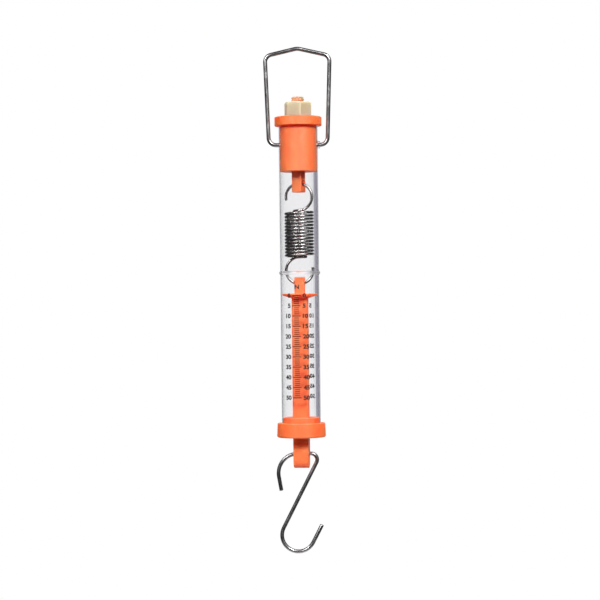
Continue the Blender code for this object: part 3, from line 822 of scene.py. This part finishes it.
def printed_scale(name, turn):
    """Ladder of ticks with numerals on both sides, printed flat and then wrapped round the tube."""
    bm = bmesh.new()
    for i in range(DIVISIONS + 1):
        z = ZERO_Z + (FULL_Z - ZERO_Z) * i / DIVISIONS
        if i % 5 == 0:
            add_tick(bm, LONG_TICK, z)
            add_text(bm, str(i), NUMERAL_RIGHT_X, z)
            add_text(bm, str(i), NUMERAL_LEFT_X, z, align_right=True)
        else:
            add_tick(bm, SHORT_TICK, z)
    add_text(bm, UNIT, UNIT_X, ZERO_Z + UNIT_RISE)
    for i in range(1, PRINT_STRIPS):
        x = -PRINT_REACH + 2.0 * PRINT_REACH * i / PRINT_STRIPS
        bmesh.ops.bisect_plane(bm, geom=bm.verts[:] + bm.edges[:] + bm.faces[:],
                               plane_co=(x, 0.0, 0.0), plane_no=(1.0, 0.0, 0.0))
    bmesh.ops.remove_doubles(bm, verts=bm.verts, dist=0.001 * MM)
    # Thickened by hand, so that the faces come in the same order each run
    under, rims = bm.faces[:], [edge for edge in bm.edges if edge.is_boundary]
    raised = {vert: bm.verts.new(vert.co) for vert in bm.verts[:]}
    for face in under:
        bm.faces.new([raised[vert] for vert in face.verts])
    for start, end in [edge.verts for edge in rims]:
        bm.faces.new((start, end, raised[end], raised[start]))
    tops = set(raised.values())
    for vert in bm.verts:
        radius = TUBE_R + (INK_THICK if vert in tops else -INK_SUNK)
        a = vert.co.x / TUBE_R + turn - TURN / 4.0
        vert.co = (radius * math.cos(a), radius * math.sin(a), vert.co.z)
    bmesh.ops.recalc_face_normals(bm, faces=bm.faces)
    mesh = bpy.data.meshes.new(name)
    bm.to_mesh(mesh)
    bm.free()
    return new_object(name, mesh)


# ---------------------------------------------------------------- materials

class Nodes:
    """Builds a node tree: add() makes a node and fills its sockets from values or other sockets."""

    def __init__(self, tree):
        self.tree = tree

    def add(self, kind, settings=None, **sockets):
        node = self.tree.nodes.new("ShaderNode" + kind)
        for key, value in (settings or {}).items():
            setattr(node, key, value)
        for key, value in sockets.items():
            self.put(node, key.replace("_", " "), value)
        return node

    def put(self, node, socket, value):
        target = node.inputs[int(socket)] if socket.isdigit() else node.inputs[socket]
        if isinstance(value, bpy.types.NodeSocket):
            self.tree.links.new(value, target)
        else:
            target.default_value = value

    def fit(self, value, low, high, to_low=0.0, to_high=1.0, blend="LINEAR"):
        """The value with its range from low to high moved to the range from to_low to to_high."""
        made = self.add("MapRange", {"interpolation_type": blend}, Value=value, From_Min=low,
                        From_Max=high, To_Min=to_low, To_Max=to_high)
        return made.outputs["Result"]

    def maths(self, operation, first, second=0.0):
        node = self.add("Math", {"operation": operation})
        self.put(node, "0", first)
        self.put(node, "1", second)
        return node.outputs[0]

    def mix(self, share, first, second):
        """Two colours mixed; share is the second one's part."""
        node = self.add("Mix", {"data_type": "RGBA"})
        self.put(node, "0", share)
        self.put(node, "6", first)
        self.put(node, "7", second)
        return node.outputs[2]

    def mix_shader(self, share, first, second):
        node = self.add("MixShader")
        for place, value in enumerate((share, first, second)):
            self.put(node, str(place), value)
        return node.outputs[0]


class Shader(Nodes):
    """Builds one material."""

    def __init__(self, name):
        self.material = bpy.data.materials.new(name)
        self.material.use_nodes = True
        super().__init__(self.material.node_tree)
        self.surface = self.tree.nodes["Principled BSDF"]
        self.output = self.tree.nodes["Material Output"]

    def finish(self, **sockets):
        for key, value in sockets.items():
            self.put(self.surface, key.replace("_", " "), value)
        return self.material

    def place(self, stretch=(1.0, 1.0, 1.0), attribute=None):
        """Coordinates in metres, stretched: the object's own, or a stored attribute."""
        if attribute is None:
            source = self.add("TexCoord").outputs["Object"]
        else:
            source = self.add("Attribute", {"attribute_name": attribute}).outputs["Vector"]
        return self.add("Mapping", Vector=source, Scale=stretch).outputs["Vector"]

    def noise(self, size, detail=3.0, stretch=(1.0, 1.0, 1.0), attribute=None, rough=0.5):
        """Noise whose features are about size across."""
        made = self.add("TexNoise", Vector=self.place(stretch, attribute), Scale=1.0 / size,
                        Detail=detail, Roughness=rough)
        return made.outputs["Fac"]

    def bump(self, height, distance, under=None):
        node = self.add("Bump", Height=height, Distance=distance)
        if under is not None:
            self.put(node, "Normal", under)
        return node.outputs["Normal"]

    def edges(self, low, high):
        """1 along convex edges, 0 elsewhere."""
        return self.fit(self.add("NewGeometry").outputs["Pointiness"], low, high)


def moulded_plastic(name, deep, base, worn, roughness, glow, scatter, dusty=None):
    """Moulded plastic: faint flow marks, fine spark texture, scuffs along it and rubbed edges."""
    made = Shader(name)
    flow = made.noise(6.0 * MM, detail=4.0, stretch=(1.0, 1.0, 0.35))
    mottle = made.noise(0.9 * MM, detail=3.0)
    tone = made.maths("ADD", made.maths("MULTIPLY", flow, 0.65), made.maths("MULTIPLY", mottle, 0.35))
    colour = made.mix(made.fit(tone, 0.36, 0.64), (*deep, 1.0), (*base, 1.0))
    grain = made.noise(0.16 * MM, detail=2.0)
    scuff = made.noise(0.5 * MM, detail=5.0, stretch=(1.0, 1.0, 0.06), rough=0.7)
    scuffed = made.fit(scuff, 0.6, 0.74)
    rubbed = made.maths("MULTIPLY", made.edges(0.53, 0.6), made.fit(mottle, 0.35, 0.6, 0.2, 1.0))
    marks = made.maths("MAXIMUM", made.maths("MULTIPLY", scuffed, 0.25),
                       made.maths("MULTIPLY", rubbed, 0.55))
    colour = made.mix(marks, colour, (*worn, 1.0))
    if dusty is not None:
        height = made.add("SeparateXYZ", Vector=made.place()).outputs["Z"]
        patchy = made.maths("ADD", height, made.fit(mottle, 0.3, 0.7, -0.5 * MM, 0.5 * MM))
        handled = made.fit(patchy, DUSTY_FROM_Z, DUSTY_FROM_Z + DUSTY_FADE, 0.0, 0.9)
        colour = made.mix(handled, colour, (*dusty, 1.0))
    gloss = made.fit(mottle, 0.3, 0.7, roughness - 0.05, roughness + 0.06)
    gloss = made.maths("ADD", gloss, made.maths("MULTIPLY", scuffed, 0.08))
    fine = made.bump(grain, 0.012 * MM)
    waves = made.bump(flow, 0.05 * MM, under=fine)
    return made.finish(Base_Color=colour, Roughness=gloss, Normal=waves, Specular_IOR_Level=0.38,
                       Subsurface_Weight=glow, Subsurface_Radius=scatter, Subsurface_Scale=1.0)


def drawn_steel(name, dark, bright, roughness, fleck):
    """Drawn wire: die lines that run along it, slight tarnish and small specks."""
    made = Shader(name)
    lines = made.noise(0.09 * MM, detail=3.0, stretch=(1.0, 1.0, 0.012), attribute="Drawn")
    tarnish = made.noise(5.0 * MM, detail=5.0, attribute="Drawn")
    specks = made.noise(0.22 * MM, detail=2.0, attribute="Drawn")
    tone = made.maths("ADD", made.maths("MULTIPLY", lines, 0.5), made.maths("MULTIPLY", tarnish, 0.5))
    colour = made.mix(made.fit(tone, 0.35, 0.65), (*dark, 1.0), (*bright, 1.0))
    colour = made.mix(made.fit(specks, 0.66, 0.74, 0.0, fleck), colour, (0.09, 0.08, 0.075, 1.0))
    gloss = made.fit(lines, 0.3, 0.7, roughness - 0.07, roughness + 0.09)
    gloss = made.maths("ADD", gloss, made.fit(tarnish, 0.45, 0.7, 0.0, 0.1))
    grooves = made.bump(lines, 0.006 * MM)
    return made.finish(Base_Color=colour, Roughness=gloss, Normal=grooves, Metallic=1.0)


def clear_plastic(name):
    """Clear extruded tube: faint draw lines along it and fine scratches. Light on its way to or from
    the pieces inside passes straight through, or the glass would count the lamps twice."""
    made = Shader(name)
    lines = made.noise(1.1 * MM, detail=3.0, stretch=(1.0, 1.0, 0.01))
    scratch = made.noise(0.35 * MM, detail=4.0, stretch=(1.0, 1.0, 0.05), rough=0.7)
    height = made.add("SeparateXYZ", Vector=made.place()).outputs["Z"]
    from_rib = made.maths("ABSOLUTE", made.maths("SUBTRACT", height, RIB_Z))
    frosted = made.fit(from_rib, 0.7 * RIB_HALF, 1.15 * RIB_HALF, 0.32, 0.0)
    gloss = made.maths("ADD", made.fit(scratch, 0.62, 0.77, 0.0, 0.15), frosted)
    tint = made.mix(made.fit(lines, 0.35, 0.65), (0.975, 0.975, 0.985, 1.0), CLEAR)
    waves = made.bump(lines, 0.02 * MM)
    made.finish(Base_Color=tint, Roughness=gloss, Normal=waves, Transmission_Weight=1.0, IOR=1.49)
    straight = made.add("BsdfTransparent", Color=CLEAR)
    ray = made.add("LightPath")
    seen = made.surface.outputs[0]
    for kind in ("Is Diffuse Ray", "Is Shadow Ray"):
        seen = made.mix_shader(ray.outputs[kind], seen, straight.outputs[0])
    made.put(made.output, "Surface", seen)
    return made.material


def printing_ink(name):
    """Screen-printed dark ink with uneven cover and a fine pebbled surface."""
    made = Shader(name)
    cover = made.noise(0.25 * MM, detail=4.0)
    colour = made.mix(made.fit(cover, 0.4, 0.68), (0.006, 0.005, 0.006, 1.0),
                      (0.022, 0.015, 0.017, 1.0))
    pebbles = made.noise(0.06 * MM, detail=2.0)
    return made.finish(Base_Color=colour, Roughness=made.fit(cover, 0.3, 0.7, 0.4, 0.6),
                       Normal=made.bump(pebbles, 0.004 * MM), Specular_IOR_Level=0.25)


def pale_floor(name):
    """Matt pale floor that fades into the white surroundings away from the scale."""
    made = Shader(name)
    grain = made.noise(8.0 * MM, detail=5.0)
    colour = made.mix(made.fit(grain, 0.3, 0.7), (0.9, 0.9, 0.9, 1.0), (0.93, 0.93, 0.93, 1.0))
    made.finish(Base_Color=colour, Roughness=0.8, Normal=made.bump(grain, 0.05 * MM))
    reach = made.add("VectorMath", {"operation": "LENGTH"},
                     Vector=made.add("TexCoord").outputs["Object"]).outputs["Value"]
    clear = made.add("BsdfTransparent")
    seen = made.mix_shader(made.fit(reach, *FLOOR_FADE), made.surface.outputs[0], clear.outputs[0])
    made.put(made.output, "Surface", seen)
    return made.material


# ---------------------------------------------------------------- surroundings

def floor(material):
    """A wide plain floor, lower than the hook reaches with the spring fully drawn."""
    bm = bmesh.new()
    bmesh.ops.create_circle(bm, cap_ends=True, segments=128, radius=1.0)
    mesh = bpy.data.meshes.new("studio_floor")
    bm.to_mesh(mesh)
    bm.free()
    mesh.materials.append(material)
    made = new_object("studio_floor", mesh)
    made.location.z = FLOOR_Z


def aim(thing, place, target):
    thing.location = place
    thing.rotation_euler = (Vector(target) - Vector(place)).to_track_quat("-Z", "Y").to_euler()


def softbox(name, azimuth_deg, elevation_deg, distance, side, watts):
    """A square area light that faces the middle of the scale."""
    lamp = bpy.data.lights.new(name, "AREA")
    lamp.size = side
    lamp.energy = watts
    made = new_object(name, lamp)
    azimuth, elevation = math.radians(azimuth_deg), math.radians(elevation_deg)
    flat = distance * math.cos(elevation)
    middle = (cad_bounds[0][2] + cad_bounds[1][2]) / 2.0
    place = (flat * math.sin(azimuth), -flat * math.cos(azimuth), middle + distance * math.sin(elevation))
    aim(made, place, (0.0, 0.0, middle))
    return made


def studio():
    """Two high softboxes in front, the stronger one to the right, and two weak ones behind for the
    back of the scale, in a room that is white behind."""
    for name, setting in FRONT_LAMPS.items():
        softbox(name, *setting)
    for name, setting in BACK_LAMPS.items():
        lamp = softbox(name, *setting)
        # Only matt surfaces take it, so that no wire shows a bright rim in front
        lamp.visible_camera = lamp.visible_glossy = lamp.visible_transmission = False

    world = bpy.data.worlds.new("white_studio")
    bpy.context.scene.world = world
    world.use_nodes = True
    world.node_tree.nodes.clear()
    room = Nodes(world.node_tree)

    def sky(colour, strength=1.0):
        return room.add("Background", Color=colour, Strength=strength).outputs[0]

    generated = room.add("TexCoord").outputs["Generated"]
    direction = room.add("SeparateXYZ", Vector=generated).outputs
    ray = room.add("LightPath").outputs
    lighting = sky(ROOM_COLOUR, room.fit(direction["Y"], *ROOM_RISE, *ROOM_LIGHT, "SMOOTHSTEP"))
    # Painted shade: a grey-violet patch behind on the right stands in for shade seen through the tube. It
    # shows only through the tube's right side.
    in_painted_shade = room.maths("MULTIPLY", room.fit(direction["X"], *PAINTED_SHADE_EDGE, blend="SMOOTHSTEP"),
                           room.fit(direction["Y"], *PAINTED_SHADE_END, blend="SMOOTHSTEP"))
    with_painted_shade = room.mix_shader(in_painted_shade, sky(WHITE), sky(PAINTED_SHADE_COLOUR))
    bounces = room.maths("ADD", ray["Diffuse Depth"], ray["Glossy Depth"])
    through = room.maths("MULTIPLY", ray["Is Transmission Ray"], room.maths("LESS_THAN", bounces, 0.5))
    seen = room.mix_shader(ray["Is Camera Ray"], room.mix_shader(through, lighting, with_painted_shade), sky(WHITE))
    room.add("OutputWorld", Surface=seen)


def camera():
    """Level with the middle of the scale, straight in front, and rolled a little."""
    lens = bpy.data.cameras.new("camera")
    lens.lens = LENS_MM
    lens.sensor_width = SENSOR_MM
    made = new_object("camera", lens)
    distance = VIEW_WIDTH * LENS_MM / SENSOR_MM
    looking = Matrix.Rotation(math.radians(90.0), 4, "X") @ Matrix.Rotation(CAMERA_ROLL, 4, "Z")
    made.matrix_world = Matrix.Translation((0.0, -distance, VIEW_MIDDLE_Z)) @ looking
    bpy.context.scene.camera = made


def build():
    orange_look = {"deep": (0.77, 0.136, 0.036), "base": (0.85, 0.186, 0.053), "worn": (0.95, 0.4, 0.2),
                   "roughness": 0.5, "glow": 0.75, "scatter": (0.009, 0.0004, 0.0002)}
    orange = moulded_plastic("orange_plastic", **orange_look)
    stud_orange = moulded_plastic("orange_plastic_stud", **orange_look, dusty=(0.43, 0.27, 0.145))
    ivory = moulded_plastic("ivory_nylon", deep=(0.34, 0.3, 0.205), base=(0.39, 0.345, 0.245),
                            worn=(0.47, 0.42, 0.32), roughness=0.6, glow=1.0,
                            scatter=(0.012, 0.01, 0.007))
    steel = drawn_steel("drawn_steel_wire", dark=(0.17, 0.165, 0.17), bright=(0.34, 0.33, 0.33),
                        roughness=0.27, fleck=0.6)
    spring_steel = drawn_steel("spring_steel_wire", dark=(0.17, 0.16, 0.165),
                               bright=(0.34, 0.325, 0.315), roughness=0.26, fleck=0.4)
    clear = clear_plastic("clear_tube_plastic")
    ink = printing_ink("scale_ink")

    stand_for(bail_shape(), "bail", "bail_body", steel)
    stand_for(tube_shape(), "tube", "housing", clear)
    stand_for(top_cap_shape(), "top_cap", "housing", orange)
    stand_for(bottom_cap_shape(), "bottom_cap", "housing", orange)
    stand_for(nut_shape(), "zero_nut", "nut_body", ivory)
    stand_for(adjuster_shape(), "adjuster", "adjuster_body", stud_orange)
    spring_piece(spring_steel)
    stand_for(plunger_shape(), "plunger", "plunger_body", orange)
    stand_for(hook_shape(), "hook", "hook_body", steel)
    for name, turn in (("scale_print_front", 0.0), ("scale_print_rear", math.pi)):
        printed = printed_scale(name, turn)
        printed.data.materials.append(ink)
        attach(printed, "housing")

    floor(pale_floor("pale_floor"))
    studio()
    camera()
    bpy.context.scene.view_settings.view_transform = "Standard"


build()
